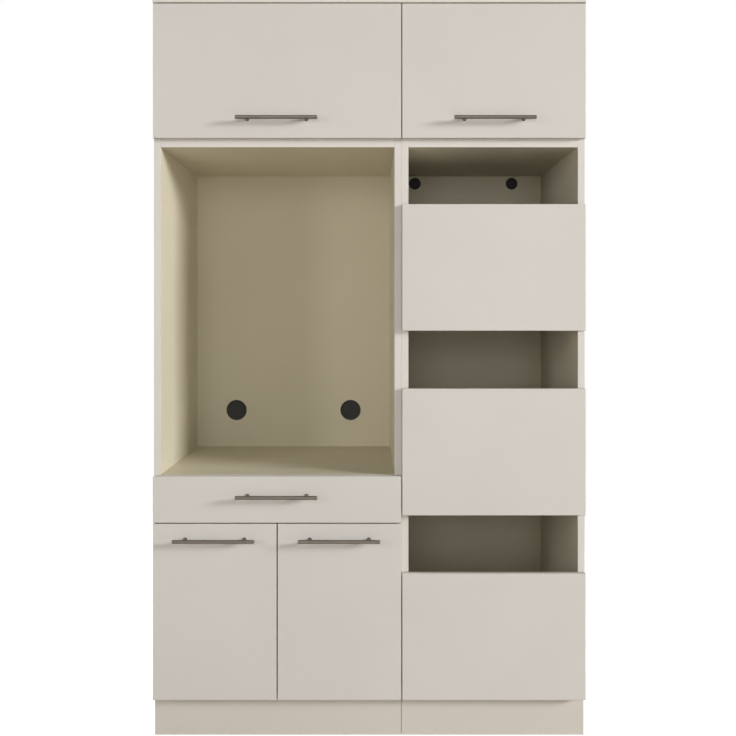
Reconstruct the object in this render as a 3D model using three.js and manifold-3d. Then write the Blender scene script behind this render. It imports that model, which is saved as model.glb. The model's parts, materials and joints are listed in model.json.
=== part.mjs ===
// A multipurpose laundry cabinet. A unit with one wide open bay, and a drawer and a pair of doors
// under it, stands beside a unit with three laundry pull-outs. Two lift-up flaps close the cupboards
// above them, under one long top board.
// Millimetres, +Z up, front towards -Y. The origin is on the floor, in the middle of the outline.

import * as THREE from "three";
import { mergeVertices } from "three/addons/utils/BufferGeometryUtils.js";
import Module from "manifold-3d";

const wasm = await Module();
wasm.setup();

// Units
const washerUnitWidth = 675;
const laundryUnitWidth = 500;
const carcassDepth = 600;
const cupboardHeight = 370;
const plinthHeight = 105;

// Boards
const sideThickness = 19;
const shelfThickness = 19;
const topBoardThickness = 19;
const platformThickness = 25;
const backThickness = 8;
const frontThickness = 19;
const plinthThickness = 16;
const plinthRecess = 12;
const plinthJointGap = 1;

// Fronts, and the gaps round them
const frontGap = 3;
const frontReveal = 2;
const bumperGap = 2;
const doorHeight = 477;
const drawerFrontHeight = 126;
const platformRise = 1;
const laundryModule = 500;
const laundryFrontHeight = 343;
const shelfReveal = 1;

// Bar handles, and how far each kind of front has its handle from its free edge
const handleLength = 220;
const handlePostSpacing = 160;
const handleBarDiameter = 10;
const handlePostDiameter = 8;
const handleStandoff = 30;
const flapHandleInset = 51;
const drawerHandleInset = 53;
const doorHandleInset = 42;

// Concealed hinges: a cup sunk in the front, and an arm on a plate that is fixed to the carcass
const cupDiameter = 35;
const cupDepth = 12;
const cupOverArm = 2;
const seatGap = 0.3;
const hingeArmHeight = 12;
const hingeArmWidth = 14;
const hingePlateThickness = 3;
const hingePlateWidth = 44;
const hingePlateLength = 46;
const hingePlateSetback = 16;
const doorHingeInset = 80;
const flapHingeInset = 100;

// Runners on the sides, each a channel in which a rib of the drawer box or tray runs
const railDepth = 12.7;
const railHeight = 45;
const railWall = 2;
const railSetback = 4;
const railBackClearance = 88;
const runningGap = 0.4;

// Drawer box and pull-out trays
const boxBackClearance = 94;
const boxWall = 12;
const boxFloor = 10;
const drawerBoxHeight = 76;
const drawerBoxLift = 12;
const drawerRailLift = 16;
const trayHeight = 90;
const trayLift = 30;
const trayRailLift = 18;

// Laundry baskets that stand in the trays
const basketRimDrop = 135;
const basketSideGap = 4;
const basketRimWidth = 9;
const basketRimHeight = 5;
const basketTaper = 14;
const basketWall = 3;
const basketFloor = 4;
const basketCornerRadius = 45;
const basketFootFillet = 12;
const gripLength = 96;
const gripHeight = 26;
const gripDrop = 34;

// Round holes in the back panels: for hoses in the wide bay, for leads in the laundry unit's top bay
const hoseHoleDiameter = 60;
const hoseHoleLift = 120;
const hoseHoleInset = 130;
const cableHoleDiameter = 35;
const cableHoleDrop = 24;
const cableHoleLeftInset = 45;
const cableHoleRightInset = 97;

// Fineness of round work, and how far a cutting solid reaches past what it cuts
const roundSegments = 32;
const cornerSegments = 6;
const overrun = 5;

// Places that follow from the sizes above
const cabinetWidth = washerUnitWidth + laundryUnitWidth;
const washerLeft = -cabinetWidth / 2;
const washerRight = washerLeft + washerUnitWidth;
const laundryLeft = washerRight;
const laundryRight = laundryLeft + laundryUnitWidth;
const innerDepth = carcassDepth - backThickness;
const frontBack = -bumperGap;
const frontFace = frontBack - frontThickness;
const handleFront = frontFace - handleStandoff - handleBarDiameter / 2;
const frontsBottom = plinthHeight + frontReveal;
const pulloutNames = ["lower", "middle", "upper"];
const ceiling = frontsBottom + pulloutNames.length * laundryModule;
const lowerTop = ceiling + shelfThickness;
const upperTop = lowerTop + cupboardHeight;
const doorsTop = frontsBottom + doorHeight;
const drawerFrontBottom = doorsTop + frontGap;
const drawerFrontTop = drawerFrontBottom + drawerFrontHeight;
const platformTop = drawerFrontTop + platformRise;
const edgeReveal = frontGap / 2;
const armFromEdge = sideThickness - edgeReveal + hingePlateThickness;
const cupFromEdge = armFromEdge + cupOverArm;
const railBack = innerDepth - railBackClearance;
const boxBack = innerDepth - boxBackClearance;
const boxDepth = boxBack - frontBack;

// Finishes
function finish(color, roughness, metalness) {
  return new THREE.MeshStandardMaterial({ color, roughness, metalness });
}
const frontBoard = finish(0xdad6ce, 0.55, 0);
const carcassBoard = finish(0xd8d4cb, 0.6, 0);
const backBoard = finish(0xd2cec4, 0.65, 0);
const plinthBoard = finish(0xd2cbbf, 0.6, 0);
const drawerBoard = finish(0xcfcac0, 0.6, 0);
const handleSteel = finish(0x8f8a82, 0.35, 1);
const hingeSteel = finish(0xb4b3b0, 0.3, 1);
const runnerSteel = finish(0xa9aaac, 0.4, 1);
const basketPlastic = finish(0x8d8a80, 0.7, 0);

// Solids for cutting and joining, and back again

function toSolid(geometry) {
  const bare = geometry.clone();
  bare.deleteAttribute("normal");
  bare.deleteAttribute("uv");
  const merged = mergeVertices(bare);
  const vertProperties = new Float32Array(merged.attributes.position.array);
  const triVerts = new Uint32Array(merged.index.array);
  return new wasm.Manifold(new wasm.Mesh({ numProp: 3, vertProperties, triVerts }));
}

function toGeometry(solid) {
  const mesh = solid.getMesh();
  const geometry = new THREE.BufferGeometry();
  geometry.setAttribute("position", new THREE.BufferAttribute(mesh.vertProperties, 3));
  geometry.setIndex(new THREE.BufferAttribute(mesh.triVerts, 1));
  geometry.computeVertexNormals();
  return geometry;
}

// Simple forms

function boxBetween(low, high) {
  const size = high.map((value, axis) => value - low[axis]);
  const geometry = new THREE.BoxGeometry(...size);
  geometry.translate(...low.map((value, axis) => value + size[axis] / 2));
  return geometry;
}

function cylinderAlongX(diameter, length, centre) {
  const geometry = new THREE.CylinderGeometry(diameter / 2, diameter / 2, length, roundSegments);
  geometry.rotateZ(Math.PI / 2);
  geometry.translate(...centre);
  return geometry;
}

function cylinderAlongY(diameter, length, centre) {
  const geometry = new THREE.CylinderGeometry(diameter / 2, diameter / 2, length, roundSegments);
  geometry.translate(...centre);
  return geometry;
}

function polygon(points) {
  return new THREE.Shape(points.map(([across, up]) => new THREE.Vector2(across, up)));
}

function rectangle(left, bottom, right, top) {
  return polygon([[left, bottom], [right, bottom], [right, top], [left, top]]);
}

function extrude(shape, length) {
  const curveSegments = roundSegments / 4;
  return new THREE.ExtrudeGeometry(shape, { depth: length, bevelEnabled: false, curveSegments });
}

// An outline in the Y-Z plane, extruded along X
function extrudeAlongX(shape, xLow, xHigh) {
  const across = new THREE.Vector3(0, 1, 0);
  const up = new THREE.Vector3(0, 0, 1);
  const along = new THREE.Vector3(1, 0, 0);
  const geometry = extrude(shape, xHigh - xLow);
  geometry.applyMatrix4(new THREE.Matrix4().makeBasis(across, up, along));
  geometry.translate(xLow, 0, 0);
  return geometry;
}

// An outline in the X-Z plane, extruded along Y
function extrudeAlongY(shape, yLow, yHigh) {
  const across = new THREE.Vector3(1, 0, 0);
  const up = new THREE.Vector3(0, 0, 1);
  const along = new THREE.Vector3(0, -1, 0);
  const geometry = extrude(shape, yHigh - yLow);
  geometry.applyMatrix4(new THREE.Matrix4().makeBasis(across, up, along));
  geometry.translate(0, yHigh, 0);
  return geometry;
}

// An outline in the X-Y plane, extruded along Z
function extrudeAlongZ(shape, zLow, zHigh) {
  const geometry = extrude(shape, zHigh - zLow);
  geometry.translate(0, 0, zLow);
  return geometry;
}

const cabinet = new THREE.Group();

function addPiece(name, geometry, material) {
  const piece = new THREE.Mesh(geometry, material);
  piece.name = name;
  cabinet.add(piece);
}

// Carcass boards. The lower side panels reach the floor and are notched at the front for the plinth.
function addLowerSide(name, left) {
  const notchDepth = plinthRecess + plinthThickness;
  const outline = polygon([
    [notchDepth, 0],
    [carcassDepth, 0],
    [carcassDepth, lowerTop],
    [0, lowerTop],
    [0, plinthHeight],
    [notchDepth, plinthHeight],
  ]);
  addPiece(name, extrudeAlongX(outline, left, left + sideThickness), carcassBoard);
}

function addCupboardSide(name, left) {
  const low = [left, 0, lowerTop];
  const high = [left + sideThickness, carcassDepth, upperTop];
  addPiece(name, boxBetween(low, high), carcassBoard);
}

// A bottom, top, platform or shelf between a unit's sides, in front of its back panel
function addShelf(name, unitLeft, unitRight, underside, thickness) {
  const low = [unitLeft + sideThickness, 0, underside];
  const high = [unitRight - sideThickness, innerDepth, underside + thickness];
  addPiece(name, boxBetween(low, high), carcassBoard);
}

function addBack(name, unitLeft, unitRight, bottom, top, holes) {
  const outline = rectangle(unitLeft + sideThickness, bottom, unitRight - sideThickness, top);
  outline.holes.push(...holes);
  addPiece(name, extrudeAlongY(outline, innerDepth, carcassDepth), backBoard);
}

function addPlinth(name, left, right) {
  const low = [left + plinthJointGap / 2, plinthRecess, 0];
  const high = [right - plinthJointGap / 2, plinthRecess + plinthThickness, plinthHeight];
  addPiece(name, boxBetween(low, high), plinthBoard);
}

function roundHole(x, z, diameter) {
  const hole = new THREE.Path();
  hole.absarc(x, z, diameter / 2, 0, Math.PI * 2);
  return hole;
}

// Unit with the wide bay
const washerInside = [washerLeft + sideThickness, washerRight - sideThickness];
const hoseHeight = platformTop + hoseHoleLift;
const hoseHoles = [
  roundHole(washerInside[0] + hoseHoleInset, hoseHeight, hoseHoleDiameter),
  roundHole(washerInside[1] - hoseHoleInset, hoseHeight, hoseHoleDiameter),
];
addLowerSide("washer_unit_left_side", washerLeft);
addLowerSide("washer_unit_right_side", washerRight - sideThickness);
addShelf("washer_unit_bottom", washerLeft, washerRight, plinthHeight, shelfThickness);
addShelf("washer_platform", washerLeft, washerRight, platformTop - platformThickness, platformThickness);
addShelf("washer_unit_top", washerLeft, washerRight, ceiling, shelfThickness);
addBack("washer_unit_back", washerLeft, washerRight, plinthHeight, lowerTop, hoseHoles);
addPlinth("left_plinth", washerLeft, washerRight);

// Laundry unit
const laundryInside = [laundryLeft + sideThickness, laundryRight - sideThickness];
const cableHeight = ceiling - cableHoleDrop;
const cableHoles = [
  roundHole(laundryInside[0] + cableHoleLeftInset, cableHeight, cableHoleDiameter),
  roundHole(laundryInside[1] - cableHoleRightInset, cableHeight, cableHoleDiameter),
];
addLowerSide("laundry_unit_left_side", laundryLeft);
addLowerSide("laundry_unit_right_side", laundryRight - sideThickness);
addShelf("laundry_unit_bottom", laundryLeft, laundryRight, plinthHeight, shelfThickness);
addShelf("laundry_unit_top", laundryLeft, laundryRight, ceiling, shelfThickness);
addBack("laundry_unit_back", laundryLeft, laundryRight, plinthHeight, lowerTop, cableHoles);
addPlinth("right_plinth", laundryLeft, laundryRight);

// Upper cupboards, which share the long top board
function addCupboard(side, left, right) {
  addCupboardSide(`${side}_cupboard_left_side`, left);
  addCupboardSide(`${side}_cupboard_right_side`, right - sideThickness);
  addShelf(`${side}_cupboard_bottom`, left, right, lowerTop, shelfThickness);
  addBack(`${side}_cupboard_back`, left, right, lowerTop, upperTop, []);
}
addCupboard("left", washerLeft, washerRight);
addCupboard("right", laundryLeft, laundryRight);
const topBoardLow = [washerLeft, frontFace, upperTop];
const topBoardHigh = [laundryRight, carcassDepth, upperTop + topBoardThickness];
addPiece("top_board", boxBetween(topBoardLow, topBoardHigh), carcassBoard);

// A round bar on two posts
function addHandle(name, x, z) {
  const barCentre = frontFace - handleStandoff;
  const bar = toSolid(cylinderAlongX(handleBarDiameter, handleLength, [x, barCentre, z]));
  const [leftPost, rightPost] = [-1, 1].map((end) => {
    const centre = [x + (end * handlePostSpacing) / 2, frontFace - handleStandoff / 2, z];
    return toSolid(cylinderAlongY(handlePostDiameter, handleStandoff, centre));
  });
  addPiece(name, toGeometry(bar.add(leftPost).add(rightPost)), handleSteel);
}

// A front board, with hinge cups sunk in its back at the [x, z] places given
function addFront(name, left, bottom, right, top, cups) {
  let front = toSolid(boxBetween([left, frontFace, bottom], [right, frontBack, top]));
  const cutterLength = cupDepth + overrun;
  for (const [x, z] of cups) {
    const centre = [x, frontBack - cupDepth + cutterLength / 2, z];
    front = front.subtract(toSolid(cylinderAlongY(cupDiameter, cutterLength, centre)));
  }
  addPiece(name, toGeometry(front), frontBoard);
}

// A hinge's arm and plate. The outlines give height above the board that carries the hinge, then
// depth behind the carcass's front. The arm lies "edgeGap" further out than it does on a front
// whose hinged edge is level with that board's face, and its nose stands in the cup.
function hingeSolid(edgeGap, extrudeAlong, place, middle) {
  const armLow = edgeGap + armFromEdge;
  const armHigh = armLow + hingeArmHeight;
  const nose = frontBack - cupDepth + seatGap;
  const plateFront = hingePlateSetback;
  const plateBack = hingePlateSetback + hingePlateLength;
  const arm = [
    [0, plateFront],
    [armLow, plateFront],
    [armLow, nose],
    [armHigh, nose],
    [armHigh, plateBack],
    [0, plateBack],
  ];
  const plate = [
    [0, plateFront],
    [hingePlateThickness, plateFront],
    [hingePlateThickness, plateBack],
    [0, plateBack],
  ];
  const [armSolid, plateSolid] = [[arm, hingeArmWidth], [plate, hingePlateWidth]].map(([outline, width]) => {
    const shape = polygon(outline.map(place));
    return toSolid(extrudeAlong(shape, middle - width / 2, middle + width / 2));
  });
  return armSolid.add(plateSolid);
}

// Upper flaps, hung from the top board
function addFlap(side, unitLeft, unitRight) {
  const left = unitLeft + edgeReveal;
  const right = unitRight - edgeReveal;
  const bottom = lowerTop + frontGap;
  const top = upperTop - frontGap;
  const hingePlaces = { left: left + flapHingeInset, right: right - flapHingeInset };
  const cups = Object.values(hingePlaces).map((x) => [x, top - cupFromEdge]);
  addFront(`${side}_flap`, left, bottom, right, top, cups);
  addHandle(`${side}_flap_handle`, (left + right) / 2, bottom + flapHandleInset);
  for (const [end, x] of Object.entries(hingePlaces)) {
    const place = ([height, depth]) => [depth, upperTop - height];
    const hinge = hingeSolid(frontGap, extrudeAlongX, place, x);
    addPiece(`${side}_flap_hinge_${end}`, toGeometry(hinge), hingeSteel);
  }
}
addFlap("left", washerLeft, washerRight);
addFlap("right", laundryLeft, laundryRight);

// Lower doors. "inward" is the way along X from a door's hinged edge to its free edge.
function addDoor(side, hingedEdge, sideFace, inward) {
  const unitMiddle = (washerLeft + washerRight) / 2;
  const freeEdge = unitMiddle - (inward * frontGap) / 2;
  const left = Math.min(hingedEdge, freeEdge);
  const right = Math.max(hingedEdge, freeEdge);
  const hingePlaces = { lower: frontsBottom + doorHingeInset, upper: doorsTop - doorHingeInset };
  const cups = Object.values(hingePlaces).map((z) => [hingedEdge + inward * cupFromEdge, z]);
  addFront(`${side}_door`, left, frontsBottom, right, doorsTop, cups);
  addHandle(`${side}_door_handle`, (left + right) / 2, doorsTop - doorHandleInset);
  for (const [end, z] of Object.entries(hingePlaces)) {
    const place = ([height, depth]) => [sideFace + inward * height, depth];
    const hinge = hingeSolid(edgeReveal - sideThickness, extrudeAlongZ, place, z);
    addPiece(`${side}_door_hinge_${end}`, toGeometry(hinge), hingeSteel);
  }
}
addDoor("left", washerLeft + edgeReveal, washerLeft + sideThickness, 1);
addDoor("right", washerRight - edgeReveal, washerRight - sideThickness, -1);

// A pair of runners on a unit's inner faces, open towards each other
function addRunners(name, [innerLeft, innerRight], bottom) {
  const channel = [
    [0, 0],
    [railDepth, 0],
    [railDepth, railWall],
    [railWall, railWall],
    [railWall, railHeight - railWall],
    [railDepth, railHeight - railWall],
    [railDepth, railHeight],
    [0, railHeight],
  ];
  for (const [end, face, inward] of [["left", innerLeft, 1], ["right", innerRight, -1]]) {
    const outline = channel.map(([across, up]) => [face + inward * across, bottom + up]);
    const rail = extrudeAlongY(polygon(outline), railSetback, railBack);
    addPiece(`${name}_runner_${end}`, rail, runnerSteel);
  }
}

// An open box that runs on such a pair: a floor, four walls, and a rib along each side
function addRunningBox(name, [innerLeft, innerRight], bottom, height, railBottom) {
  const left = innerLeft + railDepth + runningGap;
  const right = innerRight - railDepth - runningGap;
  const outside = toSolid(boxBetween([left, frontBack, bottom], [right, boxBack, bottom + height]));
  const insideLow = [left + boxWall, frontBack + boxWall, bottom + boxFloor];
  const insideHigh = [right - boxWall, boxBack - boxWall, bottom + height + overrun];
  let box = outside.subtract(toSolid(boxBetween(insideLow, insideHigh)));
  const ribInset = railWall + runningGap;
  const ribBottom = railBottom + ribInset;
  const ribTop = railBottom + railHeight - ribInset;
  const ribs = [
    [innerLeft + ribInset, left + boxWall / 2],
    [right - boxWall / 2, innerRight - ribInset],
  ];
  for (const [ribLeft, ribRight] of ribs) {
    const rib = boxBetween([ribLeft, railSetback, ribBottom], [ribRight, boxBack, ribTop]);
    box = box.add(toSolid(rib));
  }
  addPiece(name, toGeometry(box), drawerBoard);
}

// Drawer under the wide bay
const drawerLeft = washerLeft + edgeReveal;
const drawerRight = washerRight - edgeReveal;
const drawerBoxBottom = drawerFrontBottom + drawerBoxLift;
const drawerRailBottom = drawerBoxBottom + drawerRailLift;
const drawerHandleHeight = drawerFrontTop - drawerHandleInset;
addFront("drawer_front", drawerLeft, drawerFrontBottom, drawerRight, drawerFrontTop, []);
addHandle("drawer_handle", (drawerLeft + drawerRight) / 2, drawerHandleHeight);
addRunningBox("drawer_box", washerInside, drawerBoxBottom, drawerBoxHeight, drawerRailBottom);
addRunners("drawer", washerInside, drawerRailBottom);

// A closed skin over a row of rings of points, from the first ring's middle to the last one's
function skinOver(rings, firstMiddle, lastMiddle) {
  const count = rings[0].length;
  const positions = [...rings.flat(2), ...firstMiddle, ...lastMiddle];
  const firstCentre = rings.length * count;
  const lastCentre = firstCentre + 1;
  const lastRing = (rings.length - 1) * count;
  const index = [];
  for (let step = 0; step < count; step += 1) {
    const next = (step + 1) % count;
    index.push(firstCentre, next, step);
    index.push(lastCentre, lastRing + step, lastRing + next);
    for (let ring = 0; ring + 1 < rings.length; ring += 1) {
      const low = ring * count;
      const high = low + count;
      index.push(low + step, low + next, high + next);
      index.push(low + step, high + next, high + step);
    }
  }
  const geometry = new THREE.BufferGeometry();
  geometry.setAttribute("position", new THREE.Float32BufferAttribute(positions, 3));
  geometry.setIndex(index);
  geometry.computeVertexNormals();
  return geometry;
}

// A ring of points round a rectangle with round corners, at one height
function roundedRing(middleX, middleY, halfWidth, halfDepth, radius, z) {
  const corners = [[1, 1], [-1, 1], [-1, -1], [1, -1]];
  return corners.flatMap(([signX, signY], corner) =>
    Array.from({ length: cornerSegments + 1 }, (_, step) => {
      const angle = (Math.PI / 2) * (corner + step / cornerSegments);
      const x = middleX + signX * (halfWidth - radius) + radius * Math.cos(angle);
      const y = middleY + signY * (halfDepth - radius) + radius * Math.sin(angle);
      return [x, y, z];
    }),
  );
}

// A moulded basket: tapered walls, round corners, a rim turned outwards and a grip hole each side
function addBasket(name, [innerLeft, innerRight], foot, rim) {
  const trayLeft = innerLeft + railDepth + runningGap + boxWall;
  const trayRight = innerRight - railDepth - runningGap - boxWall;
  const middleX = (trayLeft + trayRight) / 2;
  const middleY = (frontBack + boxBack) / 2;
  const rimHalfWidth = (trayRight - trayLeft) / 2 - basketSideGap;
  const rimHalfDepth = boxDepth / 2 - boxWall - basketSideGap;
  const ring = (inset, z) => {
    const radius = Math.max(basketCornerRadius - inset, basketWall);
    return roundedRing(middleX, middleY, rimHalfWidth - inset, rimHalfDepth - inset, radius, z);
  };
  const wallTop = basketRimWidth;
  const wallFoot = basketRimWidth + basketTaper;
  const rings = [
    ring(wallFoot + basketFootFillet, foot),
    ring(wallFoot, foot + basketFootFillet),
    ring(wallTop, rim - basketRimHeight),
    ring(0, rim - basketRimHeight),
    ring(0, rim),
    ring(wallTop + basketWall, rim),
    ring(wallFoot + basketWall, foot + basketFootFillet),
    ring(wallFoot + basketFootFillet, foot + basketFloor),
  ];
  const footMiddle = [middleX, middleY, foot];
  const floorMiddle = [middleX, middleY, foot + basketFloor];
  const grip = new THREE.Shape();
  const gripZ = rim - gripDrop;
  const gripEnd = (gripLength - gripHeight) / 2;
  grip.absarc(middleY + gripEnd, gripZ, gripHeight / 2, -Math.PI / 2, Math.PI / 2);
  grip.absarc(middleY - gripEnd, gripZ, gripHeight / 2, Math.PI / 2, (Math.PI * 3) / 2);
  const cutter = toSolid(extrudeAlongX(grip, trayLeft - overrun, trayRight + overrun));
  const basket = toSolid(skinOver(rings, footMiddle, floorMiddle)).subtract(cutter);
  addPiece(name, toGeometry(basket), basketPlastic);
}

// Laundry pull-outs, one in each module, with a fixed shelf under each but the lowest
const pulloutLeft = laundryLeft + edgeReveal;
const pulloutRight = laundryRight - edgeReveal;
pulloutNames.forEach((name, level) => {
  const frontBottom = frontsBottom + level * laundryModule;
  const frontTop = frontBottom + laundryFrontHeight;
  const trayBottom = frontBottom + trayLift;
  const railBottom = trayBottom + trayRailLift;
  if (level > 0) {
    addShelf(`${name}_laundry_shelf`, laundryLeft, laundryRight, frontBottom + shelfReveal, shelfThickness);
  }
  addFront(`${name}_pullout_front`, pulloutLeft, frontBottom, pulloutRight, frontTop, []);
  addRunningBox(`${name}_pullout_tray`, laundryInside, trayBottom, trayHeight, railBottom);
  addRunners(`${name}_pullout`, laundryInside, railBottom);
  addBasket(`${name}_basket`, laundryInside, trayBottom + boxFloor, frontTop - basketRimDrop);
});

// The outline runs from the handles' bars to the carcass's back
cabinet.position.y = -(handleFront + carcassDepth) / 2;

export default cabinet;
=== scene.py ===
# A multipurpose laundry cabinet, in the order in which it is put together: a unit with one wide
# open bay over a drawer and two doors, a unit with three laundry pull-outs beside it, and two
# cupboards with lift-up flaps over both. Metres, front towards -Y, standing on Z = 0.
import json
import math

import bmesh
import bpy
from mathutils import Matrix, Vector

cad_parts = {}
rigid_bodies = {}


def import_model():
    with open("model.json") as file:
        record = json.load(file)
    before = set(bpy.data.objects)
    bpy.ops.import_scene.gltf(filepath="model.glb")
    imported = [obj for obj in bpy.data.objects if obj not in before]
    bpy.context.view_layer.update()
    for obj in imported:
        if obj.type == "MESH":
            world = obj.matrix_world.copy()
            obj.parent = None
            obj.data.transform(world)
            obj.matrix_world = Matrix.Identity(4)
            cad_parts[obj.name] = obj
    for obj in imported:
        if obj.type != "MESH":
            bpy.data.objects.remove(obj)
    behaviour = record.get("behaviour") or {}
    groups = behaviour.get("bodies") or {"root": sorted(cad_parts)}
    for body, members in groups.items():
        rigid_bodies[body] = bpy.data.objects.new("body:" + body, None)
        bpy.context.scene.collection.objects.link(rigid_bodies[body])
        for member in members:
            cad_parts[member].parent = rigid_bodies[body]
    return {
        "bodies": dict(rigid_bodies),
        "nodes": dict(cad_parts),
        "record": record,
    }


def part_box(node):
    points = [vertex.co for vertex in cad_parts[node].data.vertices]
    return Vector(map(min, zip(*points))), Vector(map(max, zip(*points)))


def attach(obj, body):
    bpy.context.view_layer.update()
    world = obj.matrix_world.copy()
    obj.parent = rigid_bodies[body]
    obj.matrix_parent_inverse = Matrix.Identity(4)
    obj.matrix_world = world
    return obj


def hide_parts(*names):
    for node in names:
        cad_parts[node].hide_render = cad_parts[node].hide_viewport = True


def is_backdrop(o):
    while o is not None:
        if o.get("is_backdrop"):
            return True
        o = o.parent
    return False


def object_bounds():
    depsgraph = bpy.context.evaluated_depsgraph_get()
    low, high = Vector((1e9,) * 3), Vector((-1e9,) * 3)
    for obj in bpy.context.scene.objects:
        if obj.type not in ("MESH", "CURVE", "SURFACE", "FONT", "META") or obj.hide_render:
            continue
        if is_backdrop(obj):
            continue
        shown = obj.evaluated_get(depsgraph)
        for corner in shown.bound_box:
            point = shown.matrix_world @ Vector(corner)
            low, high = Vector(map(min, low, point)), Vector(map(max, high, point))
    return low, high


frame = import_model()
cad_low, cad_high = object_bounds()
scene = bpy.context.scene
scene.view_settings.view_transform = "Standard"

# Camera
# It stands 2.75 m in front of the fronts and 1.155 m up, and looks straight at them. The frame is
# shifted down, so upright edges stay upright, and the top board is cropped as in the photograph.
eye_place = (-0.0037, -3.043, 1.155)
lens_length = 49.7
frame_shift = -0.0747

camera_data = bpy.data.cameras.new("camera")
camera_data.sensor_width = 36
camera_data.lens = lens_length
camera_data.shift_y = frame_shift
camera = bpy.data.objects.new("camera", camera_data)
camera.location = eye_place
camera.rotation_euler = (math.radians(90), 0, 0)
scene.collection.objects.link(camera)
scene.camera = camera

# Studio light
# A large lamp far off on the right, like a window, draws the handles' shadows to the left, with a
# weak high one beside it. Soft ones in front, on the left and near the floor light the bays, and
# two more the top and the back. The camera and polished metal see a plain white room all round.
lamp_aim = Vector((0, -0.29, 1.05))
lamps = {
    "window_lamp": {"place": (8.7, -4.4, 3.4), "size": (3.1, 1.6), "power": 830},
    "high_lamp": {"place": (4.2, -3.6, 5.4), "size": (2.0, 2.0), "power": 12},
    "front_lamp": {"place": (0.1, -5.2, 1.6), "size": (2.6, 1.8), "power": 50},
    "left_lamp": {"place": (-3.2, -3.6, 1.6), "size": (1.2, 2.0), "power": 46},
    "low_lamp": {"place": (2.2, -2.6, 0.3), "size": (1.6, 0.5), "power": 7},
    "top_lamp": {"place": (-0.3, 1.2, 4.8), "size": (2.4, 1.6), "power": 42},
    "back_lamp": {"place": (-3.6, 4.3, 3.0), "size": (2.4, 2.4), "power": 165},
}
lamp_colour = (1, 0.995, 0.985)
room_strength = 0.04
plain_white = (1, 1, 1, 1)

for name, facts in lamps.items():
    lamp = bpy.data.lights.new(name, "AREA")
    lamp.shape = "RECTANGLE"
    lamp.size, lamp.size_y = facts["size"]
    lamp.energy = facts["power"]
    lamp.color = lamp_colour
    holder = bpy.data.objects.new(name, lamp)
    holder.location = facts["place"]
    holder.rotation_euler = (lamp_aim - holder.location).to_track_quat("-Z", "Y").to_euler()
    scene.collection.objects.link(holder)


def seen_directly(nodes, links):
    """1 where the camera, a mirror or a clear thing looks, 0 where a surface gathers its light."""
    path = nodes.new("ShaderNodeLightPath")
    both = nodes.new("ShaderNodeMath")
    both.operation = "ADD"
    every = nodes.new("ShaderNodeMath")
    every.operation = "ADD"
    every.use_clamp = True
    links.new(path.outputs["Is Camera Ray"], both.inputs[0])
    links.new(path.outputs["Is Glossy Ray"], both.inputs[1])
    links.new(both.outputs[0], every.inputs[0])
    links.new(path.outputs["Is Transmission Ray"], every.inputs[1])
    return every.outputs[0]


world = bpy.data.worlds.new("studio")
scene.world = world
world.use_nodes = True
world_nodes = world.node_tree.nodes
world_links = world.node_tree.links
room = world_nodes["Background"]
room.inputs["Color"].default_value = (*lamp_colour, 1)
room.inputs["Strength"].default_value = room_strength
backdrop = world_nodes.new("ShaderNodeBackground")
backdrop.inputs["Color"].default_value = plain_white
backdrop.inputs["Strength"].default_value = 1
room_or_backdrop = world_nodes.new("ShaderNodeMixShader")
world_links.new(seen_directly(world_nodes, world_links), room_or_backdrop.inputs[0])
world_links.new(room.outputs[0], room_or_backdrop.inputs[1])
world_links.new(backdrop.outputs[0], room_or_backdrop.inputs[2])
world_links.new(room_or_backdrop.outputs[0], world_nodes["World Output"].inputs["Surface"])

# Floor
# A plain pale floor that keeps the cabinet's shadow and turns plain white a few steps away from it,
# so that it runs into the white room without a horizon. The light that it throws back up on the
# cabinet is that of a darker and warmer floor.
floor_reach = 12
floor_drop = 0.0005
floor_tone = (0.85, 0.83, 0.81, 1)
floor_bounce = (0.44, 0.39, 0.33, 1)
floor_lift = 0.60
white_from = 1.3
white_past = 3.4

floor_mesh = bpy.data.meshes.new("floor")
floor_corners = []
for side_x, side_y in ((-1, -1), (1, -1), (1, 1), (-1, 1)):
    floor_corners.append((side_x * floor_reach, side_y * floor_reach, -floor_drop))
floor_mesh.from_pydata(floor_corners, [], [(0, 1, 2, 3)])
floor = bpy.data.objects.new("floor", floor_mesh)
scene.collection.objects.link(floor)
floor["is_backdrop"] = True

floor_paint = bpy.data.materials.new("floor_paint")
floor_paint.use_nodes = True
floor_nodes = floor_paint.node_tree.nodes
floor_links = floor_paint.node_tree.links
floor_nodes.remove(floor_nodes["Principled BSDF"])
bounce = floor_nodes.new("ShaderNodeBsdfDiffuse")
bounce.inputs["Color"].default_value = floor_bounce
matt = floor_nodes.new("ShaderNodeBsdfDiffuse")
matt.inputs["Color"].default_value = floor_tone
glow = floor_nodes.new("ShaderNodeEmission")
glow.inputs["Strength"].default_value = floor_lift
lifted = floor_nodes.new("ShaderNodeAddShader")
far_white = floor_nodes.new("ShaderNodeEmission")
floor_spot = floor_nodes.new("ShaderNodeTexCoord")
steps_away = floor_nodes.new("ShaderNodeVectorMath")
steps_away.operation = "LENGTH"
whitening = floor_nodes.new("ShaderNodeMapRange")
whitening.interpolation_type = "SMOOTHSTEP"
whitening.inputs["From Min"].default_value = white_from
whitening.inputs["From Max"].default_value = white_past
near_or_far = floor_nodes.new("ShaderNodeMixShader")
floor_look = floor_nodes.new("ShaderNodeMixShader")
floor_links.new(matt.outputs[0], lifted.inputs[0])
floor_links.new(glow.outputs[0], lifted.inputs[1])
floor_links.new(seen_directly(floor_nodes, floor_links), floor_look.inputs[0])
floor_links.new(bounce.outputs[0], floor_look.inputs[1])
floor_links.new(floor_spot.outputs["Object"], steps_away.inputs[0])
floor_links.new(steps_away.outputs["Value"], whitening.inputs["Value"])
floor_links.new(whitening.outputs["Result"], near_or_far.inputs[0])
floor_links.new(lifted.outputs[0], near_or_far.inputs[1])
floor_links.new(far_white.outputs[0], near_or_far.inputs[2])
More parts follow.
